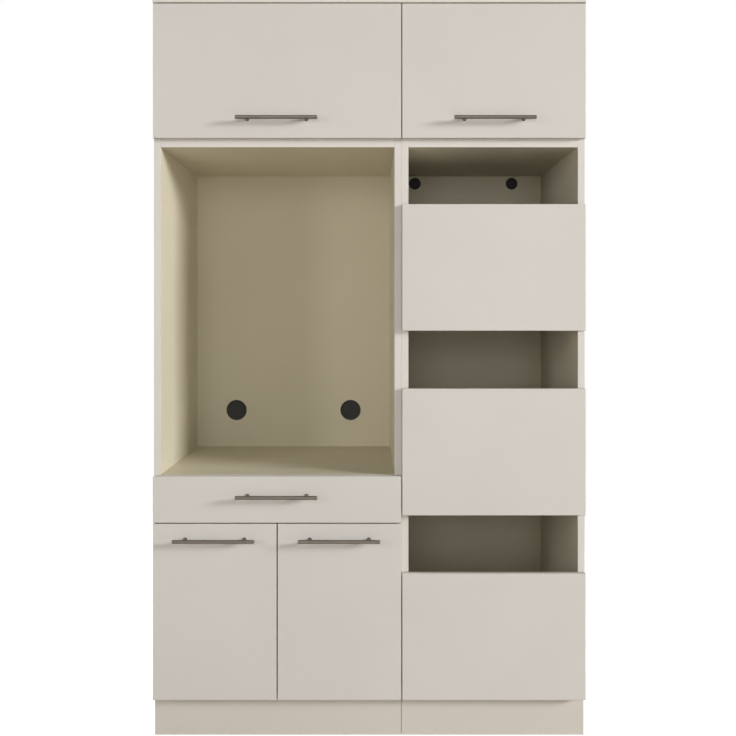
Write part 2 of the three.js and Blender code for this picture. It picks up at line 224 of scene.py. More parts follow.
floor_links.new(near_or_far.outputs[0], floor_look.inputs[2])
floor_links.new(floor_look.outputs[0], floor_nodes["Material Output"].inputs["Surface"])
floor_mesh.materials.append(floor_paint)

# Carcass boards
# 19 mm chipboard, with a 25 mm platform in the wide bay. It is faced with a white melamine inside,
# yellowed a little as painted shade for the dim bays, and in the fronts' off-white on front edges,
# outer sides and top. The lower sides stand on the floor, and bottoms, shelves and tops are dowelled
# between them.
board_edge_radius = 0.0007
hair = 0.0001
same_point = 0.00001
flat_within = math.radians(0.5)
corner_from = math.radians(35)
cloud_scale = 2.2
sheen_scale = 30
pebble_depth = 0.0006
tone_stops = (0.35, 0.65)
sheen_stops = (0.3, 0.7)
# The inside tones are yellower than the outside ones: painted shade, the dim cast inside the bays.
inside_shade_tinted_tones = ((213, 206, 185), (217, 210, 190))
outside_tones = ((216, 211, 204), (219, 214, 208))


def tone(red, green, blue):
    """A colour as a screen shows it, 0 to 255, for a material."""
    steps = [value / 255 for value in (red, green, blue)]
    plain = [s / 12.92 if s <= 0.04045 else ((s + 0.055) / 1.055) ** 2.4 for s in steps]
    return (*plain, 1)


def bare_finish(name):
    """A new material, with its nodes, their links and its shader."""
    material = bpy.data.materials.new(name)
    material.use_nodes = True
    nodes = material.node_tree.nodes
    return material, nodes, material.node_tree.links, nodes["Principled BSDF"]


def noise_on(nodes, links, scale, detail, stretch=(1, 1, 1)):
    """A noise on the piece's own coordinates, with so many blots to the metre."""
    place = nodes.new("ShaderNodeTexCoord")
    mapping = nodes.new("ShaderNodeMapping")
    mapping.inputs["Scale"].default_value = stretch
    noise = nodes.new("ShaderNodeTexNoise")
    noise.inputs["Scale"].default_value = scale
    noise.inputs["Detail"].default_value = detail
    links.new(place.outputs["Object"], mapping.inputs["Vector"])
    links.new(mapping.outputs["Vector"], noise.inputs["Vector"])
    return noise.outputs[0]


def tones_by(nodes, links, shader, noise, tones):
    ramp = nodes.new("ShaderNodeValToRGB")
    for element, stop, colour in zip(ramp.color_ramp.elements, tone_stops, tones):
        element.position = stop
        element.color = tone(*colour)
    links.new(noise, ramp.inputs["Fac"])
    links.new(ramp.outputs["Color"], shader.inputs["Base Color"])


def roughness_by(nodes, links, shader, noise, low, high):
    spread = nodes.new("ShaderNodeMapRange")
    spread.inputs["From Min"].default_value = sheen_stops[0]
    spread.inputs["From Max"].default_value = sheen_stops[1]
    spread.inputs["To Min"].default_value = low
    spread.inputs["To Max"].default_value = high
    links.new(noise, spread.inputs["Value"])
    links.new(spread.outputs["Result"], shader.inputs["Roughness"])


def relief_by(nodes, links, shader, noise, strength, depth):
    bump = nodes.new("ShaderNodeBump")
    bump.inputs["Strength"].default_value = strength
    bump.inputs["Distance"].default_value = depth
    links.new(noise, bump.inputs["Height"])
    links.new(bump.outputs["Normal"], shader.inputs["Normal"])


def sheet_finish(name, tones, roughness, pebble_scale, pebble_strength):
    """A smooth board face: faint clouds of tone, a slightly uneven sheen and a fine pebble."""
    material, nodes, links, shader = bare_finish(name)
    clouds = noise_on(nodes, links, cloud_scale, detail=4)
    tones_by(nodes, links, shader, clouds, tones)
    sheen = noise_on(nodes, links, sheen_scale, detail=3)
    roughness_by(nodes, links, shader, sheen, *roughness)
    pebble = noise_on(nodes, links, pebble_scale, detail=2)
    relief_by(nodes, links, shader, pebble, pebble_strength, pebble_depth)
    return material


def new_piece(name, mesh):
    piece = bpy.data.objects.new(name, mesh)
    scene.collection.objects.link(piece)
    return piece


def round_edges(piece, radius, segments=2):
    rounding = piece.modifiers.new("rounded edges", "BEVEL")
    rounding.width = radius
    rounding.segments = segments
    rounding.limit_method = "ANGLE"
    rounding.angle_limit = corner_from
    rounding.harden_normals = True


def board_from(node, radius):
    """The frame's board, with whole faces and finely rounded edges."""
    source = frame["nodes"][node].data
    corners = [vertex.co[:] for vertex in source.vertices]
    faces = [face.vertices[:] for face in source.polygons]
    mesh = bpy.data.meshes.new(node + "_board")
    mesh.from_pydata(corners, [], faces)
    shape = bmesh.new()
    shape.from_mesh(mesh)
    bmesh.ops.remove_doubles(shape, verts=shape.verts, dist=same_point)
    bmesh.ops.dissolve_limit(
        shape, angle_limit=flat_within, verts=shape.verts, edges=shape.edges
    )
    for face in shape.faces:
        face.smooth = True
    shape.to_mesh(mesh)
    shape.free()
    piece = new_piece(node + "_board", mesh)
    round_edges(piece, radius)
    return piece


inside_shade_tinted_face = sheet_finish(
    "inside_melamine", inside_shade_tinted_tones, roughness=(0.46, 0.56), pebble_scale=900, pebble_strength=0.12
)
outside_face = sheet_finish(
    "outside_melamine", outside_tones, roughness=(0.52, 0.6), pebble_scale=1400, pebble_strength=0.06
)
fitted_apart = ("_back", "_plinth", "_left", "_right", "_lower", "_upper")
carcass_nodes = frame["record"]["behaviour"]["bodies"]["carcass"]
for node in carcass_nodes:
    if not node.endswith(fitted_apart):
        board = board_from(node, board_edge_radius)
        board.data.materials.append(inside_shade_tinted_face)
        board.data.materials.append(outside_face)
        for face in board.data.polygons:
            front_edge = face.normal.y < -0.99
            outer_side = abs(face.center.x) > cad_high.x - hair
            upper_face = face.center.z > cad_high.z - hair
            if front_edge or outer_side or upper_face:
                face.material_index = 1
        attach(board, "carcass")
        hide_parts(node)

# Back panels
# 8 mm fibreboard, white on the inside with a yellow tint that is painted shade for the dim bays, let
# in flush between the sides. The one behind the wide bay has two round holes for hoses, and the
# laundry unit's has two smaller ones for leads near its top.
# Yellower than a plain white: painted shade for the dim bays that these panels close.
back_shade_tinted_tones = ((210, 202, 177), (214, 206, 182))
back_edge_radius = 0.0004

back_shade_tinted_face = sheet_finish(
    "back_panel_white", back_shade_tinted_tones, roughness=(0.52, 0.62), pebble_scale=1100, pebble_strength=0.1
)
for node in carcass_nodes:
    if node.endswith("_back"):
        panel = board_from(node, back_edge_radius)
        panel.data.materials.append(back_shade_tinted_face)
        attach(panel, "carcass")
        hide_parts(node)

# Plinths
# 16 mm boards in the fronts' colour, a little darker as painted shade for their place under the
# fronts. They stand on the floor, 33 mm behind the fronts' faces, and are pushed on clips so that
# they come off.
# A little darker and warmer than the fronts' tones: painted shade for the recess under the fronts.
plinth_shade_darkened_tones = ((206, 200, 190), (210, 204, 194))
plinth_edge_radius = 0.0008

plinth_shade_darkened_face = sheet_finish(
    "plinth_laminate", plinth_shade_darkened_tones, roughness=(0.44, 0.52), pebble_scale=700, pebble_strength=0.1
)
for node in ("left_plinth", "right_plinth"):
    plinth = board_from(node, plinth_edge_radius)
    plinth.data.materials.append(plinth_shade_darkened_face)
    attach(plinth, "carcass")
    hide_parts(node)

# Hose and cable outlets
# Black rubber rosettes in the round holes of the back panels, large ones for hoses and small ones
# for leads. A flange holds each in the panel. The scored membrane is cut open when it is needed; its
# black, closing the holes, is also painted shade for their dark inside.
outlet_rows = {
    "hose_outlets": {"radius": 0.0299, "height": 0.834, "across": (-0.4385, -0.0615)},
    "cable_outlets": {"radius": 0.0174, "height": 1.583, "across": (0.1515, 0.4715)},
}
flange_reach_share = 1.12
flange_height = 0.0013
flange_edge = 0.0007
flange_bevel = 0.0008
flange_seat = -0.0002
outlet_wall = 0.0022
outlet_depth = 0.0078
outlet_mouth = 0.0005
membrane_hold_share = 0.8
web_levels = (-0.0040, -0.0028)
leaf_levels = (-0.0030, -0.0020)
leaf_tip_radius = 0.0008
leaf_steps = 5
score_lines = 8
score_width = 0.0005
outlet_segments = 48
outlet_edge_radius = 0.0002
blot_scale = 18
moulded_sheen_scale = 160
grain_depth = 0.0005
# Black rubber, which also stands in as painted shade for the dark inside of the holes.
outlet_rubber_and_hole_shade_tones = ((17, 16, 15), (24, 23, 22))
panel_face = 0.320
panel_rear = 0.328


def finish_shape(name, shape, material, smooth=True):
    """Turns a worked shape into a piece, with its faces outward."""
    bmesh.ops.recalc_face_normals(shape, faces=shape.faces)
    for face in shape.faces:
        face.smooth = smooth
    mesh = bpy.data.meshes.new(name)
    shape.to_mesh(mesh)
    shape.free()
    mesh.materials.append(material)
    return new_piece(name, mesh)


def ring_skin(shape, rings, closed_round=False):
    """Skins a row of rings of points. It is capped at both ends, or else runs back to its start."""
    rows = [[shape.verts.new(point) for point in ring] for ring in rings]
    pairs = list(zip(rows, rows[1:]))
    if closed_round:
        pairs.append((rows[-1], rows[0]))
    for row, next_row in pairs:
        for step in range(len(row)):
            after = (step + 1) % len(row)
            shape.faces.new((row[step], row[after], next_row[after], next_row[step]))
    if not closed_round:
        shape.faces.new(list(reversed(rows[0])))
        shape.faces.new(rows[-1])


def turned(profile, steps):
    """Rings of points for a turned shape. The profile gives radius and height."""
    rings = []
    for radius, height in profile:
        ring = []
        for step in range(steps):
            angle = 2 * math.pi * step / steps
            ring.append(Vector((radius * math.cos(angle), radius * math.sin(angle), height)))
        rings.append(ring)
    return rings


def placed(rings, place):
    """The same rings of points, moved and turned by a matrix."""
    return [[place @ point for point in ring] for ring in rings]


def moulding_finish(name, tones, roughness, grain_scale, grain_strength):
    """A moulded plastic with a fine spark-eroded grain."""
    material, nodes, links, shader = bare_finish(name)
    blots = noise_on(nodes, links, blot_scale, detail=3)
    tones_by(nodes, links, shader, blots, tones)
    sheen = noise_on(nodes, links, moulded_sheen_scale, detail=2)
    roughness_by(nodes, links, shader, sheen, *roughness)
    grain = noise_on(nodes, links, grain_scale, detail=3)
    relief_by(nodes, links, shader, grain, grain_strength, grain_depth)
    return material


outlet_rubber = moulding_finish(
    "outlet_rubber", outlet_rubber_and_hole_shade_tones, roughness=(0.55, 0.7), grain_scale=1600, grain_strength=0.2
)
for name, row in outlet_rows.items():
    radius = row["radius"]
    flange_radius = radius * flange_reach_share
    flange_profile = (
        (radius, -outlet_depth),
        (radius, flange_seat),
        (flange_radius, 0),
        (flange_radius, flange_edge),
        (flange_radius - flange_bevel, flange_height),
        (radius - flange_bevel, flange_height),
        (radius - outlet_wall, outlet_mouth),
        (radius - outlet_wall, -outlet_depth),
    )
    web_profile = [(radius - outlet_wall / 2, level) for level in web_levels]
    membrane_radius = radius - outlet_wall * membrane_hold_share
    half_score = score_width / membrane_radius / 2
    outlets_shape = bmesh.new()
    for x in row["across"]:
        facing_front = Matrix.Translation((x, panel_face, row["height"]))
        facing_front = facing_front @ Matrix.Rotation(math.radians(90), 4, "X")
        flange_rings = placed(turned(flange_profile, outlet_segments), facing_front)
        ring_skin(outlets_shape, flange_rings, closed_round=True)
        web_rings = placed(turned(web_profile, outlet_segments), facing_front)
        ring_skin(outlets_shape, web_rings)
        for number in range(score_lines):
            start = 2 * math.pi * number / score_lines + half_score
            end = 2 * math.pi * (number + 1) / score_lines - half_score
            middle = (start + end) / 2
            tip_x = leaf_tip_radius * math.cos(middle)
            tip_y = leaf_tip_radius * math.sin(middle)
            leaf_rings = []
            for height in leaf_levels:
                leaf = [Vector((tip_x, tip_y, height))]
                for step in range(leaf_steps + 1):
                    angle = start + (end - start) * step / leaf_steps
                    x_reach = membrane_radius * math.cos(angle)
                    y_reach = membrane_radius * math.sin(angle)
                    leaf.append(Vector((x_reach, y_reach, height)))
                leaf_rings.append(leaf)
            ring_skin(outlets_shape, placed(leaf_rings, facing_front))
    outlets = finish_shape(name, outlets_shape, outlet_rubber)
    round_edges(outlets, outlet_edge_radius, segments=1)
    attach(outlets, "carcass")

# Fronts
# 19 mm boards with a smooth matt lacquer in warm off-white, rounded a little along all edges. The
# doors and flaps have cups sunk in their backs for the hinges; the three laundry fronts are plain.
front_bodies = {
    "left_flap": "left_flap_leaf",
    "right_flap": "right_flap_leaf",
    "drawer_front": "drawer",
    "left_door": "left_door_leaf",
    "right_door": "right_door_leaf",
    "lower_pullout_front": "lower_pullout",
    "middle_pullout_front": "middle_pullout",
    "upper_pullout_front": "upper_pullout",
}
front_tones = ((209, 205, 199), (213, 209, 203))
front_edge_radius = 0.0012

front_lacquer = sheet_finish(
    "front_lacquer", front_tones, roughness=(0.55, 0.63), pebble_scale=450, pebble_strength=0.05
)
for node, body in front_bodies.items():
    front = board_from(node, front_edge_radius)
    front.data.materials.append(front_lacquer)
    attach(front, body)
    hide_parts(node)

# Bar handles
# Solid round bar in brushed steel, 10 mm thick, with small chamfers at the ends. Its colour is
# darkened as a painted reflection of a dark room. It stands on two turned posts, each with a thin
# collar where it meets the front.
handle_bodies = {
    "left_flap_handle": "left_flap_leaf",
    "right_flap_handle": "right_flap_leaf",
    "drawer_handle": "drawer",
    "left_door_handle": "left_door_leaf",
    "right_door_handle": "right_door_leaf",
}
bar_radius = 0.005
bar_chamfer = 0.0008
bar_tip_step = 0.0002
bar_tip_share = 1.4
post_radius = 0.004
post_spacing = 0.160
collar_radius = 0.0056
collar_height = 0.0012
collar_bevel = 0.0003
bar_segments = 40
post_segments = 32
front_thickness = 0.019
handle_edge_radius = 0.00015
brushed_one_way = 0.4
scratch_depth = 0.0002
# Darker than the steel's own colour: painted reflection of a dark room.
handle_dark_reflection_tones = ((92, 85, 76), (112, 105, 96))


def brushed_finish(name, tones, roughness, stretch, strength):
    """Brushed metal: fine scratches that run along the piece."""
    material, nodes, links, shader = bare_finish(name)
    shader.inputs["Metallic"].default_value = 1
    shader.inputs["Anisotropic"].default_value = brushed_one_way
    scratches = noise_on(nodes, links, scale=1, detail=4, stretch=stretch)
    tones_by(nodes, links, shader, scratches, tones)
    roughness_by(nodes, links, shader, scratches, *roughness)
    relief_by(nodes, links, shader, scratches, strength, scratch_depth)
    return material


handle_steel = brushed_finish(
    "handle_steel", handle_dark_reflection_tones, roughness=(0.26, 0.4), stretch=(14, 1600, 1600), strength=0.15
)
screw_places = {body: [] for body in frame["bodies"]}
for node, body in handle_bodies.items():
    low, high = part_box(node)
    bar_centre = Vector(((low.x + high.x) / 2, low.y + bar_radius, (low.z + high.z) / 2))
    half_length = (high.x - low.x) / 2
    bar_profile = []
    for end in (-1, 1):
        tip = [
            (bar_radius - bar_tip_share * bar_chamfer, end * half_length),
            (bar_radius - bar_chamfer, end * (half_length - bar_tip_step)),
            (bar_radius, end * (half_length - bar_chamfer)),
        ]
        bar_profile += tip if end < 0 else reversed(tip)
    shape = bmesh.new()
    ring_skin(shape, turned(bar_profile, bar_segments))
    lying = Matrix.Translation(bar_centre) @ Matrix.Rotation(math.radians(90), 4, "Y")
    shape.transform(lying)
    standoff = high.y - bar_centre.y
    post_profile = (
        (collar_radius, 0),
        (collar_radius, collar_height - collar_bevel),
        (collar_radius - collar_bevel, collar_height),
        (post_radius + collar_bevel, collar_height),
        (post_radius, collar_height + collar_bevel),
        (post_radius, standoff),
    )
    for end in (-1, 1):
        foot = Vector((bar_centre.x + end * post_spacing / 2, high.y, bar_centre.z))
        standing = Matrix.Translation(foot) @ Matrix.Rotation(math.radians(90), 4, "X")
        ring_skin(shape, placed(turned(post_profile, post_segments), standing))
        if body != "drawer":
            screw_places[body].append((foot + Vector((0, front_thickness, 0)), (0, 1, 0)))
    handle = finish_shape(node + "_bar", shape, handle_steel)
    round_edges(handle, handle_edge_radius, segments=1)
    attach(handle, body)
    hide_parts(node)

# Concealed hinges
# Nickel-plated steel. A pressed cup with two screwed ears sits in the back of a door or flap, and
# an arm on a screwed plate holds it to the carcass. A flap's arm stands on a die-cast block under
# the top board.
hinge_leaves = {
    "left_flap_hinge_left": "left_flap_leaf",
    "left_flap_hinge_right": "left_flap_leaf",
    "right_flap_hinge_left": "right_flap_leaf",
    "right_flap_hinge_right": "right_flap_leaf",
    "left_door_hinge_lower": "left_door_leaf",
    "left_door_hinge_upper": "left_door_leaf",
    "right_door_hinge_lower": "right_door_leaf",
    "right_door_hinge_upper": "right_door_leaf",
}
carcass_front = -0.272
leaf_back = -0.002
cup_radius = 0.0173
cup_depth = 0.0117
cup_wall = 0.0009
cup_round = 0.0010
cup_middle_radius = 0.0004
cup_segments = 48
cup_flange_radius = 0.0195
cup_flange = 0.0009
cup_lip_round = 0.0006
cup_edge_radius = 0.0002
cup_over_arm = 0.002
ear_gap = 0.0004
ear_reach = 0.031
ear_half_width = 0.0075
ear_corner_radius = 0.004
ear_screw_reach = 0.0245
door_arm_low = 0.003
flap_arm_low = 0.0235
plate_height = 0.0024
plate_front = 0.016
plate_back = 0.062
plate_half_width = 0.022
plate_corner_radius = 0.006
plate_screw_depth = 0.030
plate_screw_reach = 0.0145
foot_half_width = 0.0062
foot_front_inset = 0.002
foot_back_inset = 0.003
bridge_height = 0.0086
ridge_step = 0.0014
ridge_front_inset = 0.004
ridge_back_inset = 0.010
arm_edge_radius = 0.0007
arm_height = 0.012
arm_half_width = 0.007
arm_screw_depths = (0.026, 0.044)
arm_screw_sink = 0.0004
nose_half_width = 0.0048
nose_tip = -0.0115
hinge_tones = ((170, 168, 163), (182, 180, 176))
cup_tones = ((158, 156, 151), (168, 166, 162))


def rounded_outline(low_x, low_z, high_x, high_z, radius, steps=4):
    """Points round a rectangle with round corners, from the right end of its lower edge."""
    centres = (
        (high_x - radius, low_z + radius, -90),
        (high_x - radius, high_z - radius, 0),
        (low_x + radius, high_z - radius, 90),
        (low_x + radius, low_z + radius, 180),
    )
    points = []
    for x, z, start in centres:
        for step in range(steps + 1):
            angle = math.radians(start + 90 * step / steps)
            points.append((x + radius * math.cos(angle), z + radius * math.sin(angle)))
    return points


def slab(shape, place, outline, low, high):
    """A flat slab: an outline of two coordinates, raised from low to high, set in place."""
    rings = [[place @ Vector((u, v, height)) for u, v in outline] for height in (low, high)]
    ring_skin(shape, rings)


def block(shape, place, low, high):
    outline = ((low[0], low[1]), (high[0], low[1]), (high[0], high[1]), (low[0], high[1]))
    slab(shape, place, outline, low[2], high[2])


# Each section of the nose gives its depth behind the carcass's front, then how far its underside
# and its upper side are above the arm's foot
nose_sections = (
    (plate_front + 0.006, 0.0052, 0.0106),
    (plate_front - 0.004, 0.0052, 0.0106),
    (0.004, 0.0062, 0.0104),
    (-0.006, 0.0052, 0.0090),
    (nose_tip, 0.0030, 0.0066),
)
cup_profile = (
    (cup_middle_radius, -cup_depth),
    (cup_radius - cup_round, -cup_depth),
    (cup_radius, -cup_depth + cup_round),
    (cup_radius, hair),
    (cup_flange_radius, hair),
    (cup_flange_radius, cup_flange),
    (cup_radius - cup_wall + cup_lip_round, cup_flange),
    (cup_radius - cup_wall, cup_flange - cup_lip_round),
    (cup_radius - cup_wall, -cup_depth + cup_wall + cup_round),
    (cup_radius - cup_wall - cup_round, -cup_depth + cup_wall),
    (cup_middle_radius, -cup_depth + cup_wall),
)
hinge_steel = brushed_finish(
    "hinge_steel", hinge_tones, roughness=(0.24, 0.34), stretch=(120, 120, 120), strength=0.05
)
cup_steel = brushed_finish(
    "cup_steel", cup_tones, roughness=(0.3, 0.42), stretch=(300, 300, 300), strength=0.08
)
for node, leaf in hinge_leaves.items():
    low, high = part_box(node)
    middle = (low + high) / 2
    if "door" in node:
        inward = 1 if node.startswith("left") else -1
        seat = Vector((low.x if inward > 0 else high.x, carcass_front, middle.z))
        off_board = Vector((inward, 0, 0))
        arm_low = door_arm_low
    else:
        seat = Vector((middle.x, carcass_front, high.z))
        off_board = Vector((0, 0, -1))
        arm_low = flap_arm_low
    back = Vector((0, 1, 0))
    along = off_board.cross(back)
    # Coordinates here are back from the carcass's front, along the hinge, and off the board
    axes = Matrix((back, -along, off_board)).transposed().to_4x4()
    place = Matrix.Translation(seat) @ axes
    shape = bmesh.new()
    plate_outline = rounded_outline(
        plate_front, -plate_half_width, plate_back, plate_half_width, plate_corner_radius
    )
    slab(shape, place, plate_outline, 0, plate_height)
    if leaf.endswith("flap_leaf"):
        foot_low = (plate_front + foot_front_inset, -foot_half_width, plate_height)
        foot_high = (plate_back - foot_back_inset, foot_half_width, arm_low)
        block(shape, place, foot_low, foot_high)
    bridge_low = (plate_front, -arm_half_width, arm_low)
    bridge_high = (plate_back, arm_half_width, arm_low + bridge_height)
    block(shape, place, bridge_low, bridge_high)
    ridge_front = plate_front + ridge_front_inset
    ridge_back = plate_back - ridge_back_inset
    ridge_low = (ridge_front, -arm_half_width + ridge_step, arm_low + bridge_height)
    ridge_high = (ridge_back, arm_half_width - ridge_step, arm_low + arm_height)
    block(shape, place, ridge_low, ridge_high)
    nose_rings = []
    for depth, under, over in nose_sections:
        ring = [(-1, under), (1, under), (1, over), (-1, over)]
        corners = [Vector((depth, side * nose_half_width, arm_low + up)) for side, up in ring]
        nose_rings.append([place @ corner for corner in corners])
    ring_skin(shape, nose_rings)
    arm = finish_shape(node + "_arm", shape, hinge_steel)
    round_edges(arm, arm_edge_radius)
    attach(arm, "carcass")
    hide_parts(node)
    for side in (-1, 1):
        screw_depth = plate_front + plate_screw_depth
        screw_seat = Vector((screw_depth, side * plate_screw_reach, plate_height))
        screw_places["carcass"].append((place @ screw_seat, off_board[:]))
    for depth in arm_screw_depths:
        screw_seat = Vector((depth, 0, arm_low + arm_height - arm_screw_sink))
        screw_places["carcass"].append((place @ screw_seat, off_board[:]))

    # The cup's own coordinates are along the hinge, across it, and back from the front's back
    cup_centre = seat + off_board * (arm_low + cup_over_arm) + back * leaf_back
    cup_axes = Matrix((along, off_board, back)).transposed().to_4x4()
    cup_place = Matrix.Translation(cup_centre) @ cup_axes
    shape = bmesh.new()
    ring_skin(shape, placed(turned(cup_profile, cup_segments), cup_place))
    for side in (-1, 1):
        inner = side * (cup_radius + ear_gap)
        outer = side * ear_reach
        ear_low = min(inner, outer)
        ear_high = max(inner, outer)
        ear_outline = rounded_outline(
            ear_low, -ear_half_width, ear_high, ear_half_width, ear_corner_radius
        )
        slab(shape, cup_place, ear_outline, hair, cup_flange)
        ear_screw = cup_place @ Vector((side * ear_screw_reach, 0, cup_flange))
        screw_places[leaf].append((ear_screw, (0, 1, 0)))
    cup = finish_shape(node + "_cup", shape, cup_steel)
    round_edges(cup, cup_edge_radius, segments=1)
    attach(cup, leaf)

# Runners
# Galvanised steel channels, screwed to the inner faces of the sides, with lips that keep the rail
# of the drawer or tray in. The rails are of the same steel and are screwed to the box's sides.
running_bodies = ("drawer", "lower_pullout", "middle_pullout", "upper_pullout")
channel_section = (
    (0, 0),
    (0.0127, 0),
    (0.0127, 0.0042),
    (0.0115, 0.0042),
    (0.0115, 0.0012),
    (0.0012, 0.0012),
    (0.0012, 0.0438),
    (0.0115, 0.0438),
    (0.0115, 0.0408),
    (0.0127, 0.0408),
    (0.0127, 0.0450),
    (0, 0.0450),
)
rail_section = (
    (0.0030, 0.0040),
    (0.0104, 0.0040),
    (0.0104, 0.0066),
    (0.0131, 0.0066),
    (0.0131, 0.0384),
    (0.0104, 0.0384),
    (0.0104, 0.0410),
    (0.0030, 0.0410),
    (0.0030, 0.0300),
    (0.0048, 0.0286),
    (0.0048, 0.0164),
    (0.0030, 0.0150),
)
rail_end_gap = 0.0005
channel_screw_depths = (0.037, 0.165, 0.325, 0.455)
channel_screw_height = 0.0225
channel_screw_seat = 0.0008
runner_tones = ((150, 151, 152), (166, 167, 168))


def steel_strip(section, ends, face_x, inward, base):
    """Rings for a folded strip from front to back, on a board's face and above a base height."""
    return [[(face_x + inward * off, y, base + up) for off, up in section] for y in ends]


runner_steel = brushed_finish(
    "runner_steel", runner_tones, roughness=(0.32, 0.46), stretch=(500, 9, 500), strength=0.12
)
for body in running_bodies:
    box_node = "drawer_box" if body == "drawer" else body + "_tray"
    rails_shape = bmesh.new()
    for side, inward in (("left", 1), ("right", -1)):
        node = f"{body}_runner_{side}"
        low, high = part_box(node)
        face_x = low.x if inward > 0 else high.x
        shape = bmesh.new()
        channel_ends = (low.y, high.y)
        ring_skin(shape, steel_strip(channel_section, channel_ends, face_x, inward, low.z))
        channel = finish_shape(node + "_channel", shape, runner_steel, smooth=False)
        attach(channel, "carcass")
        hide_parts(node)
        seat_x = face_x + inward * channel_screw_seat
        for depth in channel_screw_depths:
            seat = Vector((seat_x, low.y + depth, low.z + channel_screw_height))
            screw_places["carcass"].append((seat, (inward, 0, 0)))
        rail_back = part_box(box_node)[1].y
        rail_ends = (low.y + rail_end_gap, rail_back)
        ring_skin(rails_shape, steel_strip(rail_section, rail_ends, face_x, inward, low.z))
    rails = finish_shape(body + "_rails", rails_shape, runner_steel, smooth=False)
    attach(rails, body)

# Drawer box and pull-out trays
# Five boards each, in a greyer white than the carcass: two sides of the full depth, a front and a
# back between them, and a floor let in between all four. The front board is screwed on from inside.
box_bodies = {
    "drawer_box": "drawer",
    "lower_pullout_tray": "lower_pullout",
    "middle_pullout_tray": "middle_pullout",
    "upper_pullout_tray": "upper_pullout",
}
box_wall = 0.012
box_floor = 0.010
rib_reach = 0.0107
box_edge_radius = 0.0008
front_screw_inset = 0.09
box_tones = ((204, 200, 191), (209, 205, 196))

box_face = sheet_finish(
    "drawer_melamine", box_tones, roughness=(0.45, 0.54), pebble_scale=1000, pebble_strength=0.1
)
upright = Matrix.Identity(4)
for node, body in box_bodies.items():
    low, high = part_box(node)
    left = low.x + rib_reach
    right = high.x - rib_reach
    boards = (
        ((left, low.y, low.z), (left + box_wall, high.y, high.z)),
        ((right - box_wall, low.y, low.z), (right, high.y, high.z)),
        ((left + box_wall, low.y, low.z), (right - box_wall, low.y + box_wall, high.z)),
        ((left + box_wall, high.y - box_wall, low.z), (right - box_wall, high.y, high.z)),
        (
            (left + box_wall, low.y + box_wall, low.z),
            (right - box_wall, high.y - box_wall, low.z + box_floor),
        ),
    )
    shape = bmesh.new()
    for corner, opposite in boards:
        block(shape, upright, corner, opposite)
    box = finish_shape(node + "_boards", shape, box_face)
    round_edges(box, box_edge_radius)
    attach(box, body)
    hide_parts(node)
    middle_z = (low.z + box_floor + high.z) / 2
    for x in (left + front_screw_inset, (left + right) / 2, right - front_screw_inset):
        screw_places[body].append((Vector((x, low.y + box_wall, middle_z)), (0, 1, 0)))

# Laundry baskets
# Injection-moulded plastic in a warm grey. The walls taper towards the foot and are pierced all
# round, with a plain band and two grip holes under a rim that is turned out and down.
basket_bodies = {
    "lower_basket": "lower_pullout",
    "middle_basket": "middle_pullout",
    "upper_basket": "upper_pullout",
}
basket_wall = 0.0022
basket_corner_radius = 0.045
basket_least_radius = 0.010
basket_rim_width = 0.009
basket_rim_drop = 0.005
basket_skirt_drop = 0.0085
basket_taper = 0.014
basket_foot_fillet = 0.012
basket_foot_round = 0.004
floor_insets = (0.140, 0.080)
cells_across = 18
cells_deep = 21
cells_in_corner = 3
pierced_rows = 6
hole_share = 0.56
grip_low = 0.047
grip_high = 0.021
grip_half_length = 0.047
grip_wall_depth = 0.040
basket_tones = ((139, 135, 124), (147, 143, 132))


def basket_ring(middle, half_width, half_depth, radius, height):
    """Evenly set points round a rectangle with round corners."""
    run_x = half_width - radius
    run_y = half_depth - radius
    arcs = []
    for side_x, side_y, start in ((1, -1, -90), (1, 1, 0), (-1, 1, 90), (-1, -1, 180)):
        arc = []
        for step in range(cells_in_corner + 1):
            angle = math.radians(start + 90 * step / cells_in_corner)
            x = middle.x + side_x * run_x + radius * math.cos(angle)
            y = middle.y + side_y * run_y + radius * math.sin(angle)
            arc.append(Vector((x, y, height)))
        arcs.append(arc)
    points = []
    for number, arc in enumerate(arcs):
        points += arc
        arrival = arcs[(number + 1) % 4][0]
        cells = (cells_deep, cells_across)[number % 2]
        for step in range(1, cells):
            points.append(arc[-1].lerp(arrival, step / cells))
    return points


